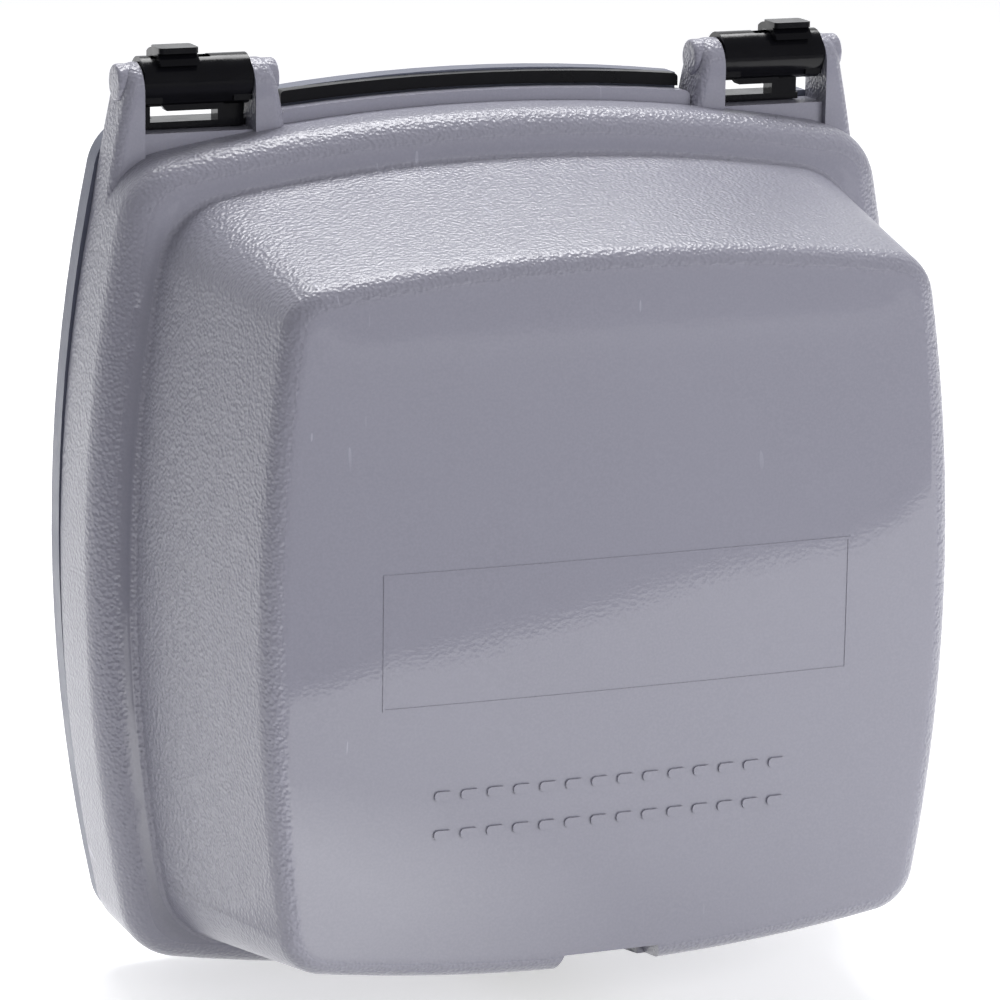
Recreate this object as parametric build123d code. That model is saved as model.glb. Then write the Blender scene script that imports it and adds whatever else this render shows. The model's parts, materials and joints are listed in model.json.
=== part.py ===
from build123d import *

import math
import os

# Two-gang weatherproof in-use cover with a GFCI receptacle in its left gang.
# X runs right, Y runs into the wall, Z runs up. The wall plane is Y = 0, so the lid stands at
# negative Y and the receptacle's body goes back at positive Y. Sizes are in millimetres.

# ---- Cover, driving dimensions ----
LID_HALF_W = 80.3
LID_TOP = 81.4
LID_BOTTOM = -79.0
LID_HALF_H = (LID_TOP - LID_BOTTOM) / 2
LID_CENTRE_Z = (LID_TOP + LID_BOTTOM) / 2
SIDE_BULGE_R = 398.0
TOP_BULGE_R = 420.0
SKIRT_CORNER_R = 12.0
LID_WALL = 2.5
BASE_FRONT_Y = -4.6
RIM_GAP = 0.3
LID_RIM_Y = BASE_FRONT_Y - RIM_GAP
SHOULDER_Y = -25.5
SHOULDER_ROUND = 6.4
ROOT_HALF_W = 72.7
ROOT_HALF_H = 73.5
ROOT_CORNER_R = 14.5
ROOT_FILLET = 1.2
FACE_HALF_W = 64.9
FACE_HALF_H = 64.4
FACE_CORNER_R = 8.5
FACE_EDGE_Y = -75.0
FACE_CROWN = 1.6
FACE_CROWN_R = 1300.0
FACE_ROUND = 5.0
FACE_APEX_Y = FACE_EDGE_Y - FACE_CROWN

BASE_HALF_W = 80.5
BASE_TOP = 86.5
BASE_BOTTOM = -78.0
BASE_HOOD_HALF_W = 39.9
BASE_SHOULDER_Z = 79.6
BASE_CORNER_R = 10.0
RIB_INSET = 4.0
RIB_WALL = 2.0
RIB_FRONT_Y = -11.0
GASKET_INSET = 3.5
GASKET_THICK = 1.6

# ---- Hinge ----
HINGE_Y = -8.7
HINGE_Z = 87.4
EAR_OUTER_X = 66.8
EAR_INNER_X = 46.05
EAR_TOP_R = 5.3
EAR_TOP_Z = 91.0
EAR_BOSS_R = 3.4
EAR_FRONT_Y = -14.0
BARREL_R = 4.6
PIN_R = 2.0
PIN_RUNNING_GAP = 0.05
HINGE_X_GAP = 0.3
SILL_TOP_Z = 78.5
CLIP_FOOT_Z = (78.8, 80.0)
CLIP_FOOT_FRONT_Y = -9.0
TONGUE_X = (49.5, 62.5)
TONGUE_LOW_Z = 74.0
TONGUE_THICK = 2.6
SLIDE_SIDE_GAP = 0.15

# ---- Cord slot and face marks ----
CORD_SLOT_HALF_W = 9.0
NOTCH_FLARE = 1.6
NOTCH_RISE = 3.0
LABEL_HALF_W = 44.2
LABEL_HALF_H = 12.15
LABEL_Z = -1.0
LABEL_LINE = 0.45
MARK_PROUD = 0.45
DASH_LONG = 3.3
DASH_TALL = 1.7
DASH_PITCH = 4.9
DASH_CENTRE_X = -1.0
DASH_ROW_Z = (-29.2, -36.3)
DASHES_PER_ROW = 14
LIP_HALF_W = 40.2
LIP_TOP = 83.5
LIP_Y = (-7.9, -11.2)
SEAL_HALF_W = 39.2
SEAL_TOP = 86.15
SEAL_TALL = 2.3
SEAL_FRONT_Y = -7.5

# ---- Gangs, boxes and devices (standard North American device sizes) ----
GANG_PITCH = 46.0
GFCI_X = -GANG_PITCH / 2
BLANK_X = GANG_PITCH / 2
BOX_SCREW_SPACING = 83.3
PLATE_SCREW_SPACING = 96.8
SCREW_6_32_R = 1.75
SCREW_NECK_R = 1.5
SCREW_THREAD_Y = (1.6, 22.0)
SCREW_HOLE_R = 2.1
WINDOW_HALF_W = 18.5
WINDOW_HALF_H = 35.5
REBATE_STEP = 2.0
INSERT_THICK = 2.0
INSERT_GAP = 0.15
DEVICE_HALF_W = 16.5
DEVICE_HALF_H = 33.2
DEVICE_WINDOW_GAP = 0.2
DEVICE_FRONT_Y = -6.8

STRAP_THICK = 1.3
STRAP_HALF_H = 53.0
STRAP_HALF_W = 9.5
BODY_HALF_W = 20.0
BODY_HALF_H = 34.0
MIDDLE_BACK_Y = 13.0
REAR_BACK_Y = 33.0
SHELL_WALL = 1.6

# Blade slots on the receptacle face: two outlets, one above and one below the buttons.
BLADE_Z = (24.5, -13.5)
BLADE_SPACING = 12.7
HOT_SLOT = (2.1, 7.0)
NEUTRAL_SLOT = (2.1, 8.6)
GROUND_DROP = 11.9
GROUND_R = 2.55
GROUND_FLANGE_R = 4.2
FACE_WALL = 2.0
CHANNEL_X = (3.6, 9.2)
CHANNEL_Z = (-18.8, 29.8)
ASSEMBLY_X = 13.4
ASSEMBLY_Z = 30.2
ASSEMBLY_SCREW_R = 1.3
ASSEMBLY_HEAD_R = 2.4

# ---- Buttons, shutters and indicator ----
BUTTON_Z = {"test_button": 2.9, "reset_button": -2.9}
BUTTON_W = 15.0
BUTTON_H = 4.6
BUTTON_GAP = 0.15
BUTTON_PROUD = 0.9
FLANGE_BACK_Y = -3.4
STEM_R = {"test_button": 1.2, "reset_button": 1.5}
STEM_END_Y = {"test_button": 7.9, "reset_button": 22.6}
SHUTTER_BACK_Y = -2.9
SHUTTER_TRAVEL = 3.2
LENS_PLACE = (13.2, 9.5)
LENS_R = 1.2
LED_FRONT_Y = 24.4

# ---- Trip mechanism and board, behind the middle housing ----
BOARD_Y = (27.4, 29.0)
TOROID_Y = (18.0, 22.6)
TOROID_Z = -19.0
COIL_Y = 19.5
COIL_Z = (11.0, 26.0)
PLUNGER_R = 2.2
PLUNGER_TRAVEL = 3.0
PLUNGER_HEAD_Z = 4.6
CARRIAGE_Y = (14.5, 18.7)
CARRIAGE_Z = (-7.6, 0.0)
LATCH_Y = (18.9, 20.1)
LATCH_BOTTOM_Z = -7.4
ARM_CONTACT_X = 10.8

# ---- Terminals ----
TERMINAL_Z = (20.0, -20.0)
TERMINAL_Y = 20.2
TERMINAL_SCREW_R = 1.9
GROUND_SCREW_X = -11.8
GROUND_SCREW_Y = 7.0


def block(x, y, z):
    """A box given by its (low, high) pair along each axis."""
    spans = (x, y, z)
    centre = [(low + high) / 2 for low, high in spans]
    size = [high - low for low, high in spans]
    return Pos(*centre) * Box(*size)


def rod(start, end, radius):
    """A round bar between two points."""
    along = Vector(*end) - Vector(*start)
    return extrude(Plane(origin=start, z_dir=along) * Circle(radius), along.length)


def tube(start, end, outer, inner):
    """A round tube between two points."""
    return rod(start, end, outer) - rod(start, end, inner)


def front_plane(y):
    """The upright plane at depth y, with local x to the right, local y up and its normal outwards."""
    return Plane(origin=(0, y, 0), x_dir=(1, 0, 0), z_dir=(0, -1, 0))


def side_plane(x):
    """The upright plane at x, with local x along +Y, local y up and its normal along +X."""
    return Plane(origin=(x, 0, 0), x_dir=(0, 1, 0), z_dir=(1, 0, 0))


def coil(centre_x, centre_z, y_start, y_end, radius, wire_r, turns):
    """A compression spring along Y, cut flat at both ends."""
    pitch = (y_end - y_start) / turns
    path = Plane(origin=(centre_x, y_start, centre_z), z_dir=(0, 1, 0)) * Helix(
        pitch, y_end - y_start, radius
    )
    start = path @ 0
    section = Plane(origin=start, z_dir=path % 0) * Circle(wire_r)
    return sweep(section, path=path)


def mirrored_x(shape):
    """The same shape on the other side of the middle."""
    return mirror(shape, about=Plane.YZ)


def bulged_face(half_w, half_h, corner_r, centre_z=0.0):
    """A rounded rectangle whose four sides are shallow arcs, drawn flat around its middle."""
    sag_side = SIDE_BULGE_R - math.sqrt(SIDE_BULGE_R**2 - half_h**2)
    sag_top = TOP_BULGE_R - math.sqrt(TOP_BULGE_R**2 - half_w**2)
    corner_x = half_w - sag_side
    corner_z = half_h - sag_top
    corners = [(corner_x, corner_z), (-corner_x, corner_z), (-corner_x, -corner_z), (corner_x, -corner_z)]
    middles = [(0, half_h), (-half_w, 0), (0, -half_h), (half_w, 0)]
    sides = []
    for index, middle in enumerate(middles):
        sides.append(ThreePointArc(corners[index], middle, corners[(index + 1) % 4]))
    face = fillet(make_face(sides).vertices(), corner_r)
    return Pos(0, centre_z) * face


def bulged_prism(half_w, half_h, corner_r, y_back, y_front, centre_z=0.0):
    """A bulged rounded rectangle carried straight from one depth forwards to another."""
    return extrude(front_plane(y_back) * bulged_face(half_w, half_h, corner_r, centre_z), y_back - y_front)


def edges_at_depth(shape, y):
    """The edges that lie wholly at one depth."""
    near = 0.02
    found = []
    for edge in shape.edges():
        reach = edge.bounding_box()
        if abs(reach.min.Y - y) < near and abs(reach.max.Y - y) < near:
            found.append(edge)
    return found


# ---------------------------------------------------------------- lid


def lid_bubble(inset, y_back, y_front_apex, corner_r):
    """The tapering bubble of the lid, inset evenly from its outer surface, with a crowned face."""
    overshoot = 3.0
    taper_w = (ROOT_HALF_W - FACE_HALF_W) / (SHOULDER_Y - FACE_EDGE_Y)
    taper_h = (ROOT_HALF_H - FACE_HALF_H) / (SHOULDER_Y - FACE_EDGE_Y)
    y_front = y_front_apex - overshoot
    sections = []
    for y in (y_back, y_front):
        share = (SHOULDER_Y - y) / (SHOULDER_Y - FACE_EDGE_Y)
        radius = ROOT_CORNER_R + (corner_r - ROOT_CORNER_R) * share - inset
        half_w = ROOT_HALF_W - taper_w * (SHOULDER_Y - y) - inset
        half_h = ROOT_HALF_H - taper_h * (SHOULDER_Y - y) - inset
        sections.append(front_plane(y) * bulged_face(half_w, half_h, radius))
    body = loft(sections, ruled=True)
    crown = Pos(0, y_front_apex + FACE_CROWN_R, 0) * Sphere(FACE_CROWN_R)
    return body & crown


def crown_edges(shape):
    """The edges round the crowned front face."""
    front = shape.faces().sort_by(Axis.Y)[0]
    return front.edges()


def lid_outer():
    skirt = bulged_prism(LID_HALF_W, LID_HALF_H, SKIRT_CORNER_R, LID_RIM_Y, SHOULDER_Y, LID_CENTRE_Z)
    skirt = fillet(edges_at_depth(skirt, SHOULDER_Y), SHOULDER_ROUND)
    bubble = lid_bubble(0.0, SHOULDER_Y + 4.0, FACE_APEX_Y, FACE_CORNER_R)
    bubble = fillet(crown_edges(bubble), FACE_ROUND)
    both = skirt + bubble
    return fillet([e for e in edges_at_depth(both, SHOULDER_Y) if rises_at_root(e)], ROOT_FILLET)


def rises_at_root(edge):
    """Whether an edge in the shoulder's plane is where the bubble rises from it."""
    reach = edge.bounding_box()
    slack = 0.2
    return abs(edge.center().X) < ROOT_HALF_W + slack and reach.max.Z < ROOT_HALF_H + slack


def lid_cavity():
    wall = LID_WALL
    front = SHOULDER_Y + wall
    skirt = bulged_prism(
        LID_HALF_W - wall, LID_HALF_H - wall, SKIRT_CORNER_R - wall, LID_RIM_Y + 1.0, front, LID_CENTRE_Z
    )
    skirt = fillet(edges_at_depth(skirt, front), SHOULDER_ROUND - wall)
    bubble = lid_bubble(wall, SHOULDER_Y + 8.0, FACE_APEX_Y + wall, FACE_CORNER_R + wall)
    bubble = fillet(crown_edges(bubble), FACE_ROUND - wall)
    return skirt + bubble


def ear_side_profile(low):
    """Side view of an ear: upright front and back, and a round top above the hinge axis."""
    centre_z = EAR_TOP_Z - EAR_TOP_R
    back_rise = math.sqrt(EAR_TOP_R**2 - (LID_RIM_Y - HINGE_Y) ** 2)
    peak = (HINGE_Y, EAR_TOP_Z)
    front_top = (HINGE_Y - EAR_TOP_R, centre_z)
    over = ThreePointArc(front_top, peak, (LID_RIM_Y, centre_z + back_rise))
    outline = [
        Line((front_top[0], low), front_top),
        over,
        Line(over @ 1, (LID_RIM_Y, low)),
        Line((LID_RIM_Y, low), (front_top[0], low)),
    ]
    return make_face(outline)


def ear(near_x, flare_points, edge_round):
    """An ear on the right: an upright wall at near_x, and a far wall that flares through three points."""
    flare = ThreePointArc(*flare_points)
    high, low = flare_points[0][1], flare_points[2][1]
    outline = [
        Line((near_x, low), (near_x, high)),
        Line((near_x, high), flare @ 0),
        flare,
        Line(flare @ 1, (near_x, low)),
    ]
    front = extrude(front_plane(0) * make_face(outline), 20.0)
    side = extrude(side_plane(38.0) * ear_side_profile(low), 42.0)
    shape = front & side
    middle = (near_x + flare_points[1][0]) / 2
    outwards = 1 if flare_points[1][0] > near_x else -1
    rounded = [
        e
        for e in shape.edges()
        if (e.center().X - middle) * outwards > 0 and e.center().Z > low + 1 and e.center().Y < LID_RIM_Y - 1
    ]
    return fillet(rounded, edge_round)


def outer_ear():
    points = ((68.6, EAR_TOP_Z + 2), (71.8, 78.0), (74.3, 63.0))
    return ear(EAR_OUTER_X, points, 2.1) + ear_boss(EAR_OUTER_X + 1.0, 71.0)


def inner_ear():
    points = ((43.6, EAR_TOP_Z + 2), (41.3, 85.0), (39.9, 72.0))
    return ear(EAR_INNER_X, points, 1.8) + ear_boss(EAR_INNER_X - 1.0, 40.8)


def ear_boss(start_x, end_x):
    """The low round boss on the far side of an ear, about the hinge axis."""
    boss = rod((start_x, HINGE_Y, HINGE_Z), (end_x, HINGE_Y, HINGE_Z), EAR_BOSS_R)
    rim = boss.edges().filter_by(GeomType.CIRCLE).sort_by(Axis.X)[-1 if end_x > start_x else 0]
    return fillet(rim, 0.7)


def arc_band(half_w, top_at_middle, height, y_back, y_front, end_r):
    """A strip that follows the top bulge: upper edge at top_at_middle, a given height, rounded ends."""
    drop = TOP_BULGE_R - math.sqrt(TOP_BULGE_R**2 - half_w**2)
    low = top_at_middle - height
    upper = ThreePointArc((-half_w, top_at_middle - drop), (0, top_at_middle), (half_w, top_at_middle - drop))
    lower = ThreePointArc((half_w, low - drop), (0, low), (-half_w, low - drop))
    ends = [Line(upper @ 1, lower @ 0), Line(lower @ 1, upper @ 0)]
    face = make_face([upper, ends[0], lower, ends[1]])
    if end_r:
        face = fillet(face.vertices().sort_by(Axis.Y)[-2:], end_r)
    return extrude(front_plane(y_back) * face, y_back - y_front)


def cord_slot():
    """Cutter for the cord exit: along the bottom wall, with a flared notch at the front edge."""
    half = CORD_SLOT_HALF_W
    top_z = -FACE_HALF_H + NOTCH_RISE
    run = block((-half, half), (FACE_APEX_Y - 2, LID_RIM_Y + 1), (-95.0, top_z))
    flare = make_face(
        Polyline(
            (-half, top_z),
            (half, top_z),
            (half + NOTCH_FLARE * 1.6, -FACE_HALF_H - 5),
            (-half - NOTCH_FLARE * 1.6, -FACE_HALF_H - 5),
            close=True,
        )
    )
    notch = extrude(front_plane(FACE_EDGE_Y + 9) * flare, 12.0)
    return run + notch


def face_marks():
    """The raised label outline and the two rows of plain raised dashes on the crowned face."""
    reach = 4.0
    start = front_plane(FACE_APEX_Y + reach)
    outer = Pos(0, LABEL_Z) * Rectangle(2 * LABEL_HALF_W, 2 * LABEL_HALF_H)
    inner = Pos(0, LABEL_Z) * Rectangle(2 * (LABEL_HALF_W - LABEL_LINE), 2 * (LABEL_HALF_H - LABEL_LINE))
    label = extrude(start * (outer - inner), reach + 1)
    dashes = []
    for row_z in DASH_ROW_Z:
        for index in range(DASHES_PER_ROW):
            x = DASH_CENTRE_X + (index - (DASHES_PER_ROW - 1) / 2) * DASH_PITCH
            dash = Pos(x, row_z) * RectangleRounded(DASH_LONG, DASH_TALL, DASH_TALL * 0.4)
            dashes.append(extrude(start * dash, reach + 1))
    skin_dash = crown_skin(MARK_PROUD)
    skin_label = crown_skin(MARK_PROUD / 3)
    marks = label & skin_label
    for dash in dashes:
        marks = marks + (dash & skin_dash)
    return marks


def crown_skin(proud):
    """A shell over the crowned face, a little below its surface to a given height above it."""
    below = 0.8
    centre = FACE_APEX_Y + FACE_CROWN_R
    outside = Pos(0, centre, 0) * Sphere(FACE_CROWN_R + proud)
    inside = Pos(0, centre, 0) * Sphere(FACE_CROWN_R - below)
    window = block((-60, 60), (FACE_APEX_Y - 3, FACE_APEX_Y + 5), (-50, 30))
    return (window & outside) - inside


def hinge_rod(side, start_x, end_x, radius):
    """A round bar on the hinge axis, on one side of the middle."""
    return rod((side * start_x, HINGE_Y, HINGE_Z), (side * end_x, HINGE_Y, HINGE_Z), radius)


def cover_lid():
    between_ears = block(
        (EAR_INNER_X, EAR_OUTER_X), (EAR_FRONT_Y, LID_RIM_Y + 1), (SILL_TOP_Z, EAR_TOP_Z)
    )
    outer = lid_outer() - between_ears - mirrored_x(between_ears)
    ears = outer_ear() + inner_ear()
    sill = block(
        (EAR_INNER_X - 1, EAR_OUTER_X + 1),
        (EAR_FRONT_Y + 1.5, LID_RIM_Y),
        (68.0, SILL_TOP_Z),
    )
    lip = arc_band(LIP_HALF_W, LIP_TOP, 5.0, LIP_Y[0], LIP_Y[1], 1.4)
    lid = outer + ears + mirrored_x(ears) + sill + mirrored_x(sill) + lip
    lid = lid - lid_cavity() - cord_slot()
    for side in (1, -1):
        lid = lid - hinge_rod(side, EAR_OUTER_X - 1, EAR_OUTER_X + 3.7, PIN_R + PIN_RUNNING_GAP)
        lid = lid + hinge_rod(side, EAR_INNER_X - 1, EAR_INNER_X + 4.6, PIN_R)
    return lid + face_marks()


# ---------------------------------------------------------------- base and seals


def base_outline_face(inset=0.0):
    """Base outline: the bulged rectangle, lowered to a flat shoulder outside the rain hood."""
    half_h = (BASE_TOP - BASE_BOTTOM) / 2
    centre_z = (BASE_TOP + BASE_BOTTOM) / 2
    face = bulged_face(BASE_HALF_W - inset, half_h - inset, BASE_CORNER_R - inset, centre_z)
    for side in (1, -1):
        cut = Pos(side * (BASE_HOOD_HALF_W - inset + 25), BASE_SHOULDER_Z - inset + 10) * Rectangle(50, 20)
        face = face - cut
    return face


def window_cut(x, half_w, half_h, y_back, y_front):
    return block((x - half_w, x + half_w), (y_front, y_back), (-half_h, half_h))


def base_frame():
    plate = extrude(front_plane(0) * base_outline_face(), -BASE_FRONT_Y)
    gasket_recess = extrude(front_plane(1) * base_outline_face(GASKET_INSET), 1 + GASKET_THICK)
    base = plate - gasket_recess
    rib_w = LID_HALF_W - RIB_INSET
    rib_h = LID_HALF_H - RIB_INSET
    rib_r = SKIRT_CORNER_R - RIB_INSET
    rib = bulged_prism(rib_w, rib_h, rib_r, BASE_FRONT_Y + 0.5, RIB_FRONT_Y, LID_CENTRE_Z)
    rib = rib - bulged_prism(
        rib_w - RIB_WALL, rib_h - RIB_WALL, rib_r - RIB_WALL, 0, RIB_FRONT_Y - 1, LID_CENTRE_Z
    )
    rib = rib - block((-14, 14), (RIB_FRONT_Y - 1, BASE_FRONT_Y), (-90, -50))
    base = base + rib
    for x in (GFCI_X, BLANK_X):
        base = base - window_cut(x, WINDOW_HALF_W, WINDOW_HALF_H, 1, BASE_FRONT_Y - 1)
        rebate_w = WINDOW_HALF_W + REBATE_STEP
        rebate_h = WINDOW_HALF_H + REBATE_STEP
        base = base - window_cut(x, rebate_w, rebate_h, BASE_FRONT_Y + INSERT_THICK, BASE_FRONT_Y - 1)
        for z in (-BOX_SCREW_SPACING / 2, BOX_SCREW_SPACING / 2):
            base = base - rod((x, 1, z), (x, BASE_FRONT_Y - 1, z), SCREW_HOLE_R)
    base = base - seal_key(0.05)
    for side in (1, -1):
        base = base - hinge_tongue(side, 0.05)
    return base


def seal_key(extra=0.0):
    """The rib on the back of the rain seal that presses into the groove along the base's top edge."""
    back = BASE_FRONT_Y + 1.2 + extra
    return arc_band(36.0 + extra, 85.5 + extra, 1.0 + 2 * extra, back, BASE_FRONT_Y, 0)


def rain_seal():
    strip = arc_band(SEAL_HALF_W, SEAL_TOP, SEAL_TALL, BASE_FRONT_Y, SEAL_FRONT_Y, 0.9)
    return strip + seal_key()


def gasket_face():
    face = base_outline_face(GASKET_INSET + 0.1)
    for x in (GFCI_X, BLANK_X):
        face = face - Pos(x, 0) * Rectangle(2 * WINDOW_HALF_W + 1, 2 * WINDOW_HALF_H + 1)
        for z in (-BOX_SCREW_SPACING / 2, BOX_SCREW_SPACING / 2):
            face = face - Pos(x, z) * Circle(SCREW_HOLE_R + 0.5)
    strap_relief = Rectangle(2 * STRAP_HALF_W + 0.8, 2 * STRAP_HALF_H + 1.0)
    return face - Pos(GFCI_X, 0) * strap_relief


def wall_gasket():
    return extrude(front_plane(0) * gasket_face(), GASKET_THICK)


def insert_plate(x):
    """A plate that drops into the base's rebate for one gang, closed all over."""
    half_w = WINDOW_HALF_W + REBATE_STEP - INSERT_GAP
    half_h = WINDOW_HALF_H + REBATE_STEP - INSERT_GAP
    back = BASE_FRONT_Y + INSERT_THICK
    plate = window_cut(x, half_w, half_h, back, BASE_FRONT_Y)
    step_w = WINDOW_HALF_W - INSERT_GAP
    step_h = WINDOW_HALF_H - INSERT_GAP
    return plate + window_cut(x, step_w, step_h, back + 1.2, back)


def gfci_insert():
    opening_w = DEVICE_HALF_W + DEVICE_WINDOW_GAP
    opening_h = DEVICE_HALF_H + DEVICE_WINDOW_GAP
    return insert_plate(GFCI_X) - window_cut(GFCI_X, opening_w, opening_h, 1, BASE_FRONT_Y - 1)


def blank_insert():
    """The closed insert: its field stands a little proud, inside a plain border."""
    panel = window_cut(BLANK_X, WINDOW_HALF_W - 3, WINDOW_HALF_H - 3, BASE_FRONT_Y, BASE_FRONT_Y - 1.0)
    panel = fillet(panel.edges().filter_by(Axis.Y), 2.5)
    return insert_plate(BLANK_X) + panel


def box_screw(x, z):
    """A 6-32 pan head screw through the base, standing back into the box."""
    head_r = 3.5
    head_tall = 1.9
    head = rod((x, BASE_FRONT_Y, z), (x, BASE_FRONT_Y - head_tall, z), head_r)
    head = fillet(edges_at_depth(head, BASE_FRONT_Y - head_tall), 1.2)
    slot_y = (BASE_FRONT_Y - 2.5, BASE_FRONT_Y - 0.9)
    slot = block((x - head_r, x + head_r), slot_y, (z - 0.45, z + 0.45))
    neck = rod((x, BASE_FRONT_Y - 0.1, z), (x, SCREW_THREAD_Y[0], z), SCREW_NECK_R)
    thread = rod((x, SCREW_THREAD_Y[0], z), (x, SCREW_THREAD_Y[1], z), SCREW_6_32_R)
    return (head - slot) + neck + thread


def cover_mounting_screws():
    half = BOX_SCREW_SPACING / 2
    return Compound(children=[box_screw(x, z) for x in (GFCI_X, BLANK_X) for z in (-half, half)])


# ---------------------------------------------------------------- hinge clips


def span_x(side, low, high):
    """A (low, high) pair in X on the given side of the middle."""
    return (low, high) if side > 0 else (-high, -low)


def hinge_tongue(side, extra=0.0):
    """The tongue that presses the clip into the base's top edge."""
    return block(
        span_x(side, TONGUE_X[0] - extra, TONGUE_X[1] + extra),
        (BASE_FRONT_Y - extra, BASE_FRONT_Y + TONGUE_THICK + extra),
        (TONGUE_LOW_Z - extra, CLIP_FOOT_Z[1]),
    )


def clip_cage(post_x, block_x, foot_end_x):
    """The open cage under a clip's barrel: a foot, a thin post, a wider post and a chamfered web between."""
    foot_start_x = post_x[0]
    y = (CLIP_FOOT_FRONT_Y, BASE_FRONT_Y - 0.6)
    low, high = CLIP_FOOT_Z[0], HINGE_Z - 2.5
    foot = block((foot_start_x, foot_end_x), (CLIP_FOOT_FRONT_Y, BASE_FRONT_Y), CLIP_FOOT_Z)
    web_low = 82.2
    web_start_x = post_x[1] + 1.6
    outline = Polyline(
        (web_start_x, high),
        (web_start_x, web_low + 1.0),
        (web_start_x + 1.0, web_low),
        (block_x[0] + 0.5, web_low),
        (block_x[0] + 0.5, high),
        close=True,
    )
    web = extrude(front_plane(-8.4) * make_face(outline), 2.4)
    return foot + block(post_x, y, (low, high)) + block(block_x, y, (low, high)) + web


def hinge_block(side):
    """The black clip: a bored barrel on an open cage, held to the base by a tongue."""
    low = EAR_INNER_X + HINGE_X_GAP
    high = EAR_OUTER_X - HINGE_X_GAP
    if side > 0:
        cage = clip_cage((low, low + 1.4), (57.9, 62.9), 63.3)
    else:
        cage = clip_cage((-high, -high + 2.2), (-51.6, -low - 0.3), -low)
    cheeks = []
    for x in ((low, low + 3.4), (high - 3.4, high - 0.2)):
        cheeks.append(block(span_x(side, *x), (-12.6, -7.6), (83.9, 86.6)))
    body = hinge_rod(side, low, high, BARREL_R) + cage + cheeks[0] + cheeks[1] + hinge_tongue(side)
    neck_slot = block(span_x(side, 53.4, 64.6), (HINGE_Y - 1.75, HINGE_Y + 1.75), (HINGE_Z, HINGE_Z + 8))
    return body - hinge_rod(side, low - 1, high + 1, PIN_R + PIN_RUNNING_GAP) - neck_slot


def hinge_slide(side):
    """The release pin: a rod in the barrel, a neck through its slot and a thumb tab over its top."""
    tab_in_r = BARREL_R + SLIDE_SIDE_GAP
    tab_out_r = BARREL_R + 1.5
    tab_x = (56.4, 63.8)
    neck_x = (57.8, 63.0)
    pin = hinge_rod(side, 55.0, EAR_OUTER_X + 3.3, PIN_R)
    neck = block(span_x(side, *neck_x), (HINGE_Y - 1.5, HINGE_Y + 1.5), (HINGE_Z, HINGE_Z + tab_in_r + 0.6))
    wide = span_x(side, *tab_x)
    tab = hinge_rod(side, *tab_x, tab_out_r) - hinge_rod(side, tab_x[0] - 1, tab_x[1] + 1, tab_in_r)
    tab = tab & block(wide, (HINGE_Y - 8, HINGE_Y + 3.4), (HINGE_Z + 3.3, HINGE_Z + 9))
    ridge_z = (HINGE_Z + tab_in_r + 0.6, HINGE_Z + tab_out_r + 0.3)
    ridge = block(wide, (HINGE_Y - 4.4, HINGE_Y + 1.2), ridge_z)
    ridge = fillet(ridge.edges().filter_by(Axis.Z), 0.8)
    return pin + neck + tab + ridge


# ---------------------------------------------------------------- receptacle


def at_gfci(shape):
    """Moves a piece drawn about the receptacle's own middle into the left gang."""
    return Pos(GFCI_X, 0, 0) * shape


def both_sides(shape):
    return shape + mirrored_x(shape)


def slot_cut(x, z, size, y):
    """A cutter for an upright slot of (wide, tall) size, over a (front, back) span in Y."""
    wide, tall = size
    return block((x - wide / 2, x + wide / 2), y, (z - tall / 2, z + tall / 2))


def blade_places():
    """The (x, z, slot size) of each blade slot: hot on the right, neutral on the left."""
    places = []
    for z in BLADE_Z:
        places.append((BLADE_SPACING / 2, z, HOT_SLOT))
        places.append((-BLADE_SPACING / 2, z, NEUTRAL_SLOT))
    return places


def ground_hole(z, radius, y):
    """A cutter for a ground pin: round below, flat on top."""
    shape = rod((0, y[0], z), (0, y[1], z), radius)
    return shape - block((-radius, radius), (y[0] - 1, y[1] + 1), (z + radius * 0.72, z + radius + 1))


def face_cover():
    inner_y = DEVICE_FRONT_Y + FACE_WALL
    shell = block((-DEVICE_HALF_W, DEVICE_HALF_W), (DEVICE_FRONT_Y, 0), (-DEVICE_HALF_H, DEVICE_HALF_H))
    shell = fillet(shell.edges().filter_by(Axis.Y), 1.0)
    shell = fillet(edges_at_depth(shell, DEVICE_FRONT_Y), 0.7)
    shell = shell - block(
        (-DEVICE_HALF_W + SHELL_WALL, DEVICE_HALF_W - SHELL_WALL),
        (inner_y, 1),
        (-DEVICE_HALF_H + SHELL_WALL, DEVICE_HALF_H - SHELL_WALL),
    )
    through = (DEVICE_FRONT_Y - 1, inner_y + 0.5)
    for x, z, size in blade_places():
        shell = shell - slot_cut(x, z, size, through)
    for z in BLADE_Z:
        shell = shell - ground_hole(z - GROUND_DROP, GROUND_R, through)
    for z in BUTTON_Z.values():
        shell = shell - slot_cut(0, z, (BUTTON_W + 2 * BUTTON_GAP, BUTTON_H + 2 * BUTTON_GAP), through)
    for x, z in assembly_places():
        shell = shell + tube((x, inner_y - 0.2, z), (x, 0, z), 2.6, ASSEMBLY_SCREW_R + 0.05)
    lens_x, lens_z = LENS_PLACE
    return shell - rod((lens_x, through[0], lens_z), (lens_x, through[1], lens_z), LENS_R + 0.1)


def assembly_places():
    return [(x, z) for x in (-ASSEMBLY_X, ASSEMBLY_X) for z in (-ASSEMBLY_Z, ASSEMBLY_Z)]


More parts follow.
